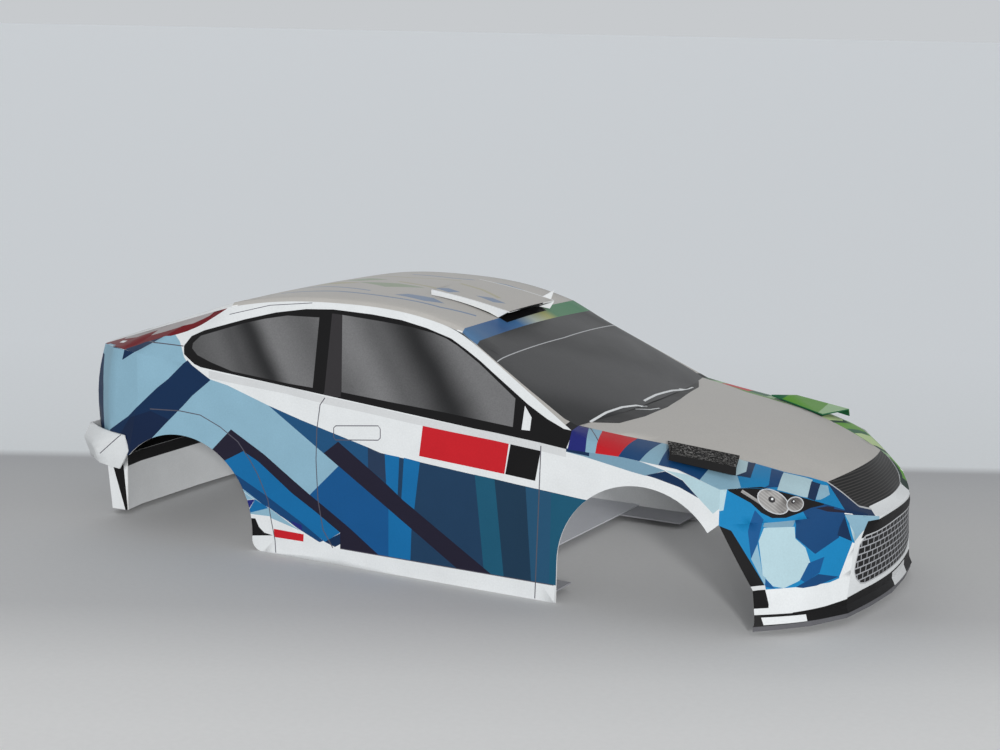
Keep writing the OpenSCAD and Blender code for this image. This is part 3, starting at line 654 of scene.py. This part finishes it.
FENDER_PRINTS = [
    ("royal", [(35.5, 31), (37.7, 31), (40.2, 37.6), (35.5, 37.6)]),
    ("sky", [(37.7, 31), (40.3, 30.3), (43, 36), (42.5, 37.6), (40.2, 37.6)]),
    ("line", stroke([(38, 31), (42.5, 36)], 0.2)),
    ("red", [(40.3, 30), (47.5, 29.5), (47.2, 37.6), (42.3, 37.6)]),
    ("mid", [(47.5, 29.4), (52.2, 28.5), (51.6, 37.6), (47.2, 37.6)]),
    ("sky", [(52.2, 28.4), (54, 28.2), (55.5, 37.6), (51.6, 37.6)]),
    ("mid", [(54, 28.2), (66.6, 24.3), (67.5, 29.6), (68.4, 31), (68.4, 37.6), (55.5, 37.6)]),
    ("cyan", [(66.6, 24.4), (75, 21), (88, 13), (88, 38), (66, 38)]),
    ("sky", [(64, 31), (69, 31), (71, 34), (69, 38), (64, 38)]),
    ("pale", [(66.4, 24.3), (68.4, 23.8), (69.8, 28.4), (68.9, 31.3), (66, 31)]),
    ("navy", [(68.4, 23.9), (69.6, 22.9), (71.3, 29.9), (68.9, 31.3), (69.8, 28.4)]),
    ("mid", [(72.6, 22.3), (74.8, 21.3), (76.2, 27.5), (76.9, 26.2), (74.2, 30.6), (74.6, 28.8)]),
    ("pale", [(74.8, 21.5), (79.7, 18.6), (80.8, 24.2), (80.2, 25), (76.2, 28.5)]),
    ("navy", [(79.7, 19.2), (81.2, 18.2), (82, 23.4), (80.8, 24.4)]),
    ("sky", [(81.2, 18.4), (82.4, 17.4), (83.4, 19), (82.6, 22), (82, 23)]),
]

BUMPER_TOP_Z, BUMPER_LINE_Z = 28, 8.9
CORNER_BASE = [
    ("cyan", [(-4, BUMPER_TOP_Z), (30, BUMPER_TOP_Z), (30, BUMPER_LINE_Z), (-4, BUMPER_LINE_Z)]),
    ("pale", [(-4, 27.6), (2.2, 27.6), (1.6, 23.5), (0.3, 23.3), (-1.6, 25.2), (-4, 25)]),
]
CORNER_PRINTS = CORNER_BASE + [
    ("mid", [(0.3, 22.5), (1.5, 23.2), (3.2, 20.8), (1, 20.9)]),
    ("blue", [(8, 23.2), (9.8, 21.3), (9.3, 20), (8.2, 17), (6.7, 14.5), (6.5, 19.3)]),
    ("haze", [(10.3, 21.3), (16.5, 21.5), (15.7, 19.8), (12.5, 19.4), (9.6, 20)]),
    ("mid", [(16, 21.6), (22.5, 22.6), (26.5, 22), (26.6, 21), (26, 18.5), (25.3, 17), (20, 14.5), (16, 17.8),
             (16.3, 20)]),
    ("pale", [(8.5, 17.5), (9.8, 19.8), (16, 19.7), (16, 17.6), (18, 15.8), (19, 12.5), (16.3, 10), (13, 8.9),
              (10.8, 9.4), (8.8, 11.5)]),
    ("sky", [(6.7, 14.5), (8.2, 17), (8.8, 11.5), (9.5, 11), (9.1, 9.7)]),
    ("navy", [(26.6, 21), (28.3, 16), (25, 17.5), (25.5, 19)]),
    ("mid", [(15.5, 8.9), (20.5, 10.8), (25.2, 9.7), (20, 8.7), (17, 8.6)]),
    ("blue", [(16.5, 10.2), (18.5, 13), (22, 13.8), (20.8, 11), (17.5, 9.6)]),
    ("blue", [(9.3, 10.9), (11.2, 8.9), (9.2, 9.4)]),
    ("pale", [(26.5, 22), (27.2, 21), (28.5, 16.8), (29, 15.5), (31.5, 18.6), (34, 22)]),
    ("card", [(28.4, 15.8), (29, 15.5), (31.5, 18.6), (34, 20), (34, 8), (25.3, 8), (25.3, 9.6)]),
    ("black", [(-4, 20.8), (1, 20.5), (3.2, 19.6), (9.1, 9.7), (6.6, 9.5), (6, 6), (-4, 6)]),
    ("pearl", [(-4, 9.6), (9.2, 9.7), (9.3, 8.9), (-4, 8.9)]),
    ("card", [(9.3, 8.9), (12, 8.5), (17, 8.3), (22, 8.7), (26, 9.5), (28.3, 10.5), (34, 10.5), (34, 3.5),
              (-4, 3.5), (-4, 5.2), (9.8, 5.2)]),
    ("black", [(-4, 9), (9.2, 8.9), (10, 6), (10, 5.3), (-4, 5.3)]),
    ("black", [(15, 4.1), (22, 4.5), (27, 5.1), (34, 5.7), (34, 3.5), (15, 3.5)]),
]
TILE = [("card", [(8.6, 3.5), (17.7, 3.55), (17.9, 2.35), (9, 2.15)])]

HEADLIGHT_PRINTS = CORNER_BASE + [
    ("blue", [(8, 23.2), (9.8, 21.3), (9.3, 20), (6.5, 19.3)]),
    ("navy", [(24, 22.8), (28, 21.8), (28, 20.5), (23, 20.9)]),
    ("mid", [(16, 25.5), (28.6, 23.2), (28.6, 20), (19, 20.4)]),
    ("black", [(1.8, 27.9), (14.9, 27.9), (18.6, 26.5), (22.4, 24.3), (22.2, 23.4), (19.4, 23), (17.2, 22.2),
               (14.3, 21.4), (11.5, 21.5), (9.3, 22.6), (7.1, 24.6), (2.6, 27.1)]),
    ("night", [(20.5, 22.9), (23, 23.1), (26.6, 22.4), (27, 21.6), (23, 22.1)]),
    ("reflector", stroke([(5.2, 27), (7.4, 25.6), (10, 23.9)], 0.55)),
    ("silver", ellipse((11.7, 24.6), 3.6, 2.05, -30)),
    ("reflector", ellipse((11.7, 24.6), 3.35, 1.85, -30)),
    ("silver", ellipse((16.2, 23.9), 1.8, 1.45)),
    ("reflector", ellipse((16.2, 23.9), 1.6, 1.25)),
    ("soot", ellipse((11.4, 25), 0.75, 0.55, -30)),
    ("card", ellipse((11.5, 25.1), 0.25, 0.22)),
    ("soot", ellipse((15.8, 24.4), 0.45, 0.4)),
    ("card", ellipse((15.9, 24.45), 0.18, 0.16)),
]

GRILLE_TOP = [(-17, 27.6), (-16.6, 26.7), (-13.5, 22), (-11, 21.2), (12, 21.4), (14.6, 22.6), (16.8, 24.6),
              (17.8, 26.4), (18, 27.6)]
NET = [(-14.2, 16.2), (-15.9, 14.9), (-17.2, 11.5), (-17.6, 10), (-16.8, 8.5), (-15, 7.2), (-13, 6.8),
       (13, 6.8), (16.5, 7.2), (19, 8.6), (20, 10.5), (19.8, 13.5), (19, 16.2), (15, 16.6), (0, 16.7)]
NOSE_PRINTS = [
    ("navy", [(-20.5, 27.5), (-17, 27.5), (-13.5, 22), (-10.5, 21), (-12, 20), (-19.2, 21.3), (-20.5, 21.8)]),
    ("sky", [(-20.5, 21.6), (-19.2, 21.3), (-11, 19.8), (-11, 18.8), (-15, 17.5), (-17.5, 16), (-20.5, 15)]),
    # The left of the nose carries the greens of the left side
    ("left_deep", [(20.8, 27.5), (16, 27.5), (12, 21.4), (11.6, 19.8), (15, 19), (20.8, 18)]),
    ("left_azure", [(20.8, 26.2), (18.2, 24), (16.6, 21.4), (16, 19), (20.8, 18)]),
    ("silver", stroke(GRILLE_TOP, 0.7)),
    ("slats", GRILLE_TOP),
    ("card", [(-10.5, 21.3), (11.6, 21.3), (11.6, 20), (-10.5, 20)]),
    ("black", [(-15.6, 16.1), (-13.7, 19.2), (20.8, 19.2), (20.8, 16.1)]),
    ("silver", stroke(NET + NET[:1], 0.6)),
    ("net", NET),
    ("black", [(-24, 5.2), (-14, 5.6), (24, 5.6), (24, 3.5), (-24, 3.5)]),
    ("pearl", [(2, 5.2), (13, 5.2), (13, 3.5), (2, 3.5)]),
]
PLATE_PRINTS = [("pearl", [(2, 4.4), (13, 4.4), (13, 2.5), (2, 2.5)])]

# ---------------------------------------------------------------- windscreen, bonnet, roof and tail

COWL = [(37, -27.5), (41, -24), (43, -16), (43.5, -6), (42.5, 3), (41, 12), (40, 19), (37.5, 25), (35.5, 29)]
SCREEN_PRINTS = [
    ("black", [(0, -40), (45, -40), (45, 40), (0, 40)]),
    # Painted shade: the grey top card around the windscreen's glass
    ("hood", [(0, -40), (34, -40), (34, 40), (0, 40)]),
    ("screen", [(0, -25), (8, -26.4), (15, -28.3), (24, -30.5), (33, -32.3), (35.5, -31.8), (38, -22),
                (39.2, -10), (39.5, 0), (39.2, 10), (38, 22), (35.5, 31.8), (33, 32.3), (24, 30.5),
                (15, 28.3), (8, 26.4), (0, 25)]),
    ("sun_strip", [(0, -25), (9.9, -26.9), (9.9, 26.9), (0, 25)]),
    # Painted shadow: the dark inside of the roof scoop's mouth, printed black
    ("black", [(4, -10), (7.7, -10), (7.2, 9.3), (4, 9.3)]),
    ("silver", stroke([(15.4, -28.2), (15.8, -14), (16.2, 0), (15.8, 14), (15.4, 28.2)], 0.22)),
]
WIPERS = [
    ("card", stroke([(36.4, -27.8), (36.6, -21), (37.4, -15), (38.6, -10.5), (40, -8.5)], 0.5)),
    ("card", stroke([(39.2, -12.5), (41.6, -10.5), (42.6, -8)], 0.45)),
    ("card", stroke([(38.4, -6.5), (38.2, 0), (38.5, 8), (39.3, 14)], 0.5)),
    ("card", stroke([(38.6, 11.5), (39.4, 14.5), (39.2, 17.5)], 0.45)),
]
BONNET_PRINTS = [
    ("black", COWL + [(30, 29), (30, -27.5)]),
]
BONNET_LEFT_PRINTS = [
    ("left_azure", [(40, 31.6), (46, 31.6), (55, 28.5), (58, 31.6), (75, 31.6), (80, 22), (72, 24),
                    (60, 25.5), (48, 27.5)]),
    ("left_sky", [(44, 31.6), (58, 31.6), (55, 28.5)]),
    ("left_mid", [(66, 24.8), (80, 22), (80, 31.6), (70, 31.6)]),
]
ROOF_PRINTS = [
    # The roof's printed motifs, in colours washed out by painted reflection and greyed by painted shade like
    # the rest of the top
    ("faint_blue", stroke([(-44, -19), (-30, -17.5), (-16, -18.5), (-4, -18), (3, -15)], 0.9)),
    ("faint_blue", [(-17, -15.5), (-9, -16.5), (-5, -14.5), (-9, -12.5), (-15, -13)]),
    ("faint_blue", stroke([(-46, -9), (-36, -11), (-24, -14)], 0.7)),
    ("faint_green", [(-34, -3), (-24, -8), (-16, -4), (-24, -2)]),
    ("faint_green", [(-42, 3), (-36, 0), (-30, 3), (-37, 6)]),
    ("faint_gold", [(-46, -3), (-38, -6), (-33, -4), (-40, -1)]),
    ("faint_gold", stroke([(-26, 1), (-16, -2), (-10.5, -4)], 1.1)),
    ("faint_gold", stroke([(-40, 12), (-28, 9), (-16, 12)], 0.8)),
    ("faint_blue", stroke([(-32, 17), (-20, 15), (-8, 18), (2, 16)], 0.9)),
    # Painted shade: black on the roof under the scoop, so the gaps round the scoop show dark
    ("black", [(-7, -10.2), (7, -10.2), (7, 10.2), (-7, 10.2)]),
]
SCOOP_PRINTS = [
    ("faint_gold", stroke([(-10, 1), (-4, 0), (2, -3)], 1.1)),
    ("faint_blue", [(-2, -6.5), (3, -7.5), (5, -5.5), (1, -4.5)]),
    ("faint_blue", [(-11, -8.5), (-7, -9.5), (-5.5, -7), (-9, -6)]),
]
TAILGATE_PRINTS = [
    ("black", [(-82.5, -20.5), (-79, -23), (-62, -25), (-53.5, -24.5), (-52, -21), (-51.4, 0), (-52, 21),
               (-53.5, 24.5), (-62, 25), (-79, 23), (-82.5, 20.5), (-83.5, 0)]),
    ("screen", [(-81.2, -19.6), (-78.4, -21.6), (-62, -23.6), (-54.6, -23), (-53.4, -20), (-52.8, 0),
                (-53.4, 20), (-54.6, 23), (-62, 23.6), (-78.4, 21.6), (-81.2, 19.6), (-82.1, 0)]),
]
TAIL_BASE = [
    ("sky", [(-33, 42), (0, 42), (0, 12), (-33, 12)]),
    ("navy", [(-31.6, 27), (-20, 33), (-8, 36), (-14, 24), (-24, 14), (-31.6, 14)]),
    ("azure", [(-20, 33), (-8, 36), (0, 30), (0, 21), (-14, 24)]),
    ("lamp_red", [(-31.6, 41.5), (-15, 41.5), (-17.5, 33), (-22, 30.4), (-31.6, 29.5)]),
    ("lens", ellipse((-24.5, 36.2), 3.2, 2.1, 10)),
    ("lens", ellipse((-20, 32.6), 1.6, 1.1, 10)),
]
POD_PRINTS = [("line", stroke([(-74.5, 21), (-82, 15.5)], 0.2))]
VALANCE_END_PRINTS = [("lamp_red", [(-86.4, 13.6), (-85.4, 13.6), (-84.9, 11.4), (-86, 11.2)]),
                      ("black", [(-85.2, 14), (-81.5, 14), (-80.2, 0.9), (-80.9, 0.9)])]
VALANCE_PRINTS = [("black", [(-22, 14), (22, 14), (19, 4.5), (-19, 4.5)]),
                  ("sparkle", [(-12, 13), (12, 13), (10, 6), (-10, 6)])]
VENT_PRINTS = [("sparkle", [(50, 20), (75, 20), (75, 40), (50, 40)])]
VENT_SIDE_PRINTS = [("black", [(50, 26), (75, 26), (75, 36), (50, 36)])]
# The box on the left is printed over in the greens
VENT_LEFT_PRINTS = [("mid", [(50, 20), (57, 20), (55, 40), (50, 40)]),
                    ("sky", [(66, 20), (75, 20), (75, 40), (64, 40)])]
INNER_WALL_PRINTS = [("black", [(-40, 11.3), (40, 11.3), (40, 16), (-40, 16)])]
TAIL_MIDDLE = [
    ("card", [(-16, 22.4), (16, 22.4), (16, 12), (-16, 12)]),
    ("black", [(-11.5, 30.6), (11.5, 30.6), (11.5, 24.4), (-11.5, 24.4)]),
    ("card", [(-10.6, 29.8), (10.6, 29.8), (10.6, 25.2), (-10.6, 25.2)]),
    ("line", stroke([(-28, 23.4), (28, 23.4)], 0.25)),
]


def mirrored(prints):
    """The same prints on the other half of a panel that crosses the car, in the left side's colours."""
    return [(LEFT_MARK + colour, [(-a, b) for a, b in outline]) for colour, outline in prints]


# ---------------------------------------------------------------- the pieces

def dressed(node, *materials):
    """A CAD node that keeps its shape and takes these materials."""
    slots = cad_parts[node].data.materials
    slots.clear()
    for material in materials:
        slots.append(material)


for side, end in ((RIGHT, "_right"), (LEFT, "_left")):
    flank, corner = side_view(side), corner_view(side)
    card_piece("side" + end, side, [(flank, SIDE_PRINTS)], levels=0)
    above = top_view(side)
    below = View(above.a, above.b, -above.out, back=True)
    card_piece("window_band" + end, side, [(flank, SIDE_PRINTS + WINDOW_PRINTS), (above, LAMP_PRINTS),
                                           (below, LAMP_BACK)])
    card_piece("rear_corner" + end, side, [(flank, SIDE_PRINTS)], inner=INSIDE_BLACK)
    card_piece("fender_top" + end, side, [(flank, SIDE_PRINTS), (above, FENDER_PRINTS)], base="hood")
    card_piece("headlight" + end, side, [(corner, HEADLIGHT_PRINTS)], rim=PALETTE[side]["mid"])
    card_piece("bumper_corner" + end, side, [(corner, CORNER_PRINTS)])
    card_piece("splitter" + end, side, [(corner, TILE)], base="black", rim=INSIDE_BLACK)
    card_piece("rear_bumper" + end, side, [(flank, POD_PRINTS)])
    card_piece("rear_valance_end" + end, side, [(flank, VALANCE_END_PRINTS)], levels=0)
    dressed("scoop_wall" + end, PALETTE[side]["card"])
    # Painted shade: the sill flaps in darker card, as they sit in shade under the body
    dressed("sill_flap" + end, SHADED_FLAP_CARD)

card_piece("vent_box_right", RIGHT,
           [(top_view(RIGHT), VENT_PRINTS), (side_view(RIGHT, facing=0.6), VENT_SIDE_PRINTS)],
           base="black", inner=INSIDE_BLACK, rim=INSIDE_BLACK, levels=0)
card_piece("vent_box_left", LEFT, [(top_view(LEFT), VENT_LEFT_PRINTS)],
           base="azure", inner=PALETTE[LEFT]["mid"], rim=PALETTE[LEFT]["mid"], levels=0)
card_piece("bumper_front", RIGHT, [(FRONT, NOSE_PRINTS)])
card_piece("nose_panel", RIGHT, [(FRONT, NOSE_PRINTS)])
card_piece("splitter_front", RIGHT, [(FRONT, PLATE_PRINTS)], base="black", rim=INSIDE_BLACK)
card_piece("windscreen", RIGHT, [(TOP, SCREEN_PRINTS + WIPERS)])
# The bonnet, roof and other tops take the grey top card as base: white card in painted shade
card_piece("bonnet", RIGHT, [(TOP, BONNET_PRINTS + BONNET_LEFT_PRINTS + WIPERS)], base="hood")
card_piece("roof", RIGHT, [(TOP, ROOF_PRINTS)], base="hood")
card_piece("tailgate", RIGHT, [(TOP, TAILGATE_PRINTS)])
card_piece("tail_panel", RIGHT, [(BACK, TAIL_BASE + mirrored(TAIL_BASE) + TAIL_MIDDLE)], inner=INSIDE_BLACK)
card_piece("rear_bumper_middle", RIGHT, [(BACK, [])])
card_piece("rear_valance", RIGHT, [(BACK, VALANCE_PRINTS)], inner=INSIDE_BLACK)
card_piece("scoop_top", RIGHT, [(TOP, SCOOP_PRINTS)], base="hood", inner=INSIDE_BLACK, levels=1)
card_piece("rear_inner_wall", RIGHT, [(FRONT, INNER_WALL_PRINTS)], base="inside", levels=0,
           both=True)
# Painted shade: the floor plate in darker card, for the little light that reaches it
dressed("floor_plate", SHADED_FLOOR_CARD)


# Glue tabs left standing at the far corner of the scoop's mouth, in millimetres
TABS = [[(5.2, 10.3, 53), (7.4, 10.6, 52.3), (8.1, 10.9, 54.8)],
        [(5.9, 8.2, 51.3), (8, 9.2, 50.9), (8.8, 9.8, 52.5)]]
TABS_FACE = (0.5, -1, 0)  # the way they look
LIP_DROP, LIP_INSET = 1.0 * MM, 0.25 * MM
FACES_DOWN = -0.7  # a normal's z below this looks at the table


def scoop_tabs():
    tabs = bmesh.new()
    for corners in TABS:
        thick_triangle(tabs, corners, TABS_FACE)
    loose("scoop_tabs", tabs, PALETTE[RIGHT]["card"])


def splitter_lip():
    """The card's back shows as a lip below the splitter, in dark grey: painted shade on bare card."""
    lip = bmesh.new()
    for node in ("splitter_right", "splitter_front", "splitter_left"):
        source = cage_of(node)
        source.normal_update()
        for face in source.faces:
            if face.normal.z < FACES_DOWN and face.calc_area() > 0:
                level = [v.co - Vector((v.co.x, v.co.y, 0)).normalized() * LIP_INSET for v in face.verts]
                top = [lip.verts.new(point) for point in level]
                foot = [lip.verts.new(point - Vector((0, 0, LIP_DROP))) for point in level]
                lip.faces.new(top[::-1])
                lip.faces.new(foot)
                walls(lip, top, foot)
        source.free()
    # Painted shade: the lip's dark grey, where the bare card sits in shade under the splitter
    loose("splitter_lip", lip, ink("lip", (96, 96, 100)))


scoop_tabs()
splitter_lip()

# ---------------------------------------------------------------- floor, light and camera

VIEW_YAW, VIEW_PITCH, VIEW_ROLL = math.radians(28.41), math.radians(10.33), math.radians(1.07)
EYE = Vector((196.25, -361.27, 111.49)) * MM
FOCAL, SENSOR = 68.53, 36  # mm
CLIP_NEAR, CLIP_FAR = 0.02, 50  # m

FLOOR_REACH = 40.0  # m from the middle to each edge
FLOOR_SPAN = 0.5  # m of paper along the view, from before the object to behind it, with these tones
# Painted shade: the grey middle stops darken the floor where the object stands
FLOOR_STOPS = [(0.0, (246, 246, 245)), (0.26, (245, 245, 244)), (0.31, (238, 238, 237)),
               (0.39, (208, 208, 208)), (0.52, (200, 200, 200)), (0.6, (191, 192, 193)),
               (0.64, (184, 185, 187)), (0.656, (237, 241, 243)), (1.0, (243, 247, 250))]


def studio_floor():
    """Pale floor with painted shade: greyer where the object stands, paler further off."""
    bm = bmesh.new()
    bmesh.ops.create_grid(bm, x_segments=8, y_segments=8, size=FLOOR_REACH)
    g = Graph("floor_paper")
    away = g.math("ADD", g.math("MULTIPLY", g.axis("X"), -math.sin(VIEW_YAW)),
                  g.math("MULTIPLY", g.axis("Y"), math.cos(VIEW_YAW)))
    tone = g.ramp(g.math("MULTIPLY_ADD", away, 1 / FLOOR_SPAN, 0.5), FLOOR_STOPS)
    fibres = g.noise(1.2 * MM, 4.0)
    mottle = g.shades(fibres, (0.3, 0.985), (0.7, 1.01))
    g.plug(g.multiply(tone, mottle), g.bsdf.inputs["Base Color"])
    g.plug(g.scaled(fibres, 0.75, 0.9), g.bsdf.inputs["Roughness"])
    g.bsdf.inputs["Specular IOR Level"].default_value = 0.1
    floor = linked("floor", bm, [g.mat])


def sun(name, travel, strength, spread):
    """A far lamp whose light goes along travel; spread is how wide it looks, in degrees."""
    data = bpy.data.lights.new(name, "SUN")
    data.energy = strength
    data.angle = math.radians(spread)
    lamp = bpy.data.objects.new(name, data)
    lamp.rotation_mode = "QUATERNION"
    lamp.rotation_quaternion = Vector(travel).to_track_quat("-Z", "Y")
    bpy.context.collection.objects.link(lamp)


HOLLOW_LENGTH, HOLLOW_WIDTH, HOLLOW_Z = 120 * MM, 50 * MM, 28 * MM
SKY_TINT = (250, 252, 255)


def hollow_glow(power):
    """A weak lamp inside the open shell that shines down, for the light that reaches the table below it."""
    data = bpy.data.lights.new("hollow", "AREA")
    data.shape = "RECTANGLE"
    data.size, data.size_y = HOLLOW_LENGTH, HOLLOW_WIDTH
    data.energy = power
    lamp = bpy.data.objects.new("hollow", data)
    lamp.location = (0, 0, HOLLOW_Z)
    bpy.context.collection.objects.link(lamp)


def studio_world(ambient, backdrop):
    """Even soft light; the camera and reflections see the backdrop's colour instead."""
    world = bpy.data.worlds.new("studio")
    world.use_nodes = True
    tree = world.node_tree
    tree.nodes.clear()
    light, seen = tree.nodes.new("ShaderNodeBackground"), tree.nodes.new("ShaderNodeBackground")
    light.inputs[0].default_value = linear(SKY_TINT)
    light.inputs[1].default_value = ambient
    seen.inputs[0].default_value = linear(backdrop)
    path, mix = tree.nodes.new("ShaderNodeLightPath"), tree.nodes.new("ShaderNodeMixShader")
    out = tree.nodes.new("ShaderNodeOutputWorld")
    watched = path.outputs["Is Camera Ray"]
    for kind in ("Is Glossy Ray", "Is Transmission Ray"):
        either = tree.nodes.new("ShaderNodeMath")
        either.operation = "MAXIMUM"
        tree.links.new(watched, either.inputs[0])
        tree.links.new(path.outputs[kind], either.inputs[1])
        watched = either.outputs[0]
    tree.links.new(watched, mix.inputs[0])
    tree.links.new(light.outputs[0], mix.inputs[1])
    tree.links.new(seen.outputs[0], mix.inputs[2])
    tree.links.new(mix.outputs[0], out.inputs[0])
    bpy.context.scene.world = world


def studio_camera():
    """The camera at EYE, turned by yaw, then pitch, then roll."""
    forward = Vector((-math.sin(VIEW_YAW) * math.cos(VIEW_PITCH), math.cos(VIEW_YAW) * math.cos(VIEW_PITCH),
                      -math.sin(VIEW_PITCH)))
    across = Vector((math.cos(VIEW_YAW), math.sin(VIEW_YAW), 0))
    upward = across.cross(forward)
    right = across * math.cos(VIEW_ROLL) + upward * math.sin(VIEW_ROLL)
    up = upward * math.cos(VIEW_ROLL) - across * math.sin(VIEW_ROLL)
    data = bpy.data.cameras.new("camera")
    data.sensor_width = SENSOR
    data.lens = FOCAL
    data.clip_start, data.clip_end = CLIP_NEAR, CLIP_FAR
    camera = bpy.data.objects.new("camera", data)
    camera.matrix_world = Matrix(((right.x, up.x, -forward.x, EYE.x), (right.y, up.y, -forward.y, EYE.y),
                                  (right.z, up.z, -forward.z, EYE.z), (0, 0, 0, 1)))
    bpy.context.collection.objects.link(camera)
    bpy.context.scene.camera = camera


studio_floor()
sun("key", travel=(-0.56, 0.79, -0.24), strength=1.82, spread=5)
sun("front", travel=(-0.47, 0.86, -0.19), strength=0.5, spread=5)
hollow_glow(power=0.006)
sun("fill", travel=(0.6, -0.7, -0.35), strength=0.43, spread=60)
studio_world(ambient=0.43, backdrop=(199, 202, 205))
studio_camera()
bpy.context.scene.view_settings.view_transform = "Standard"
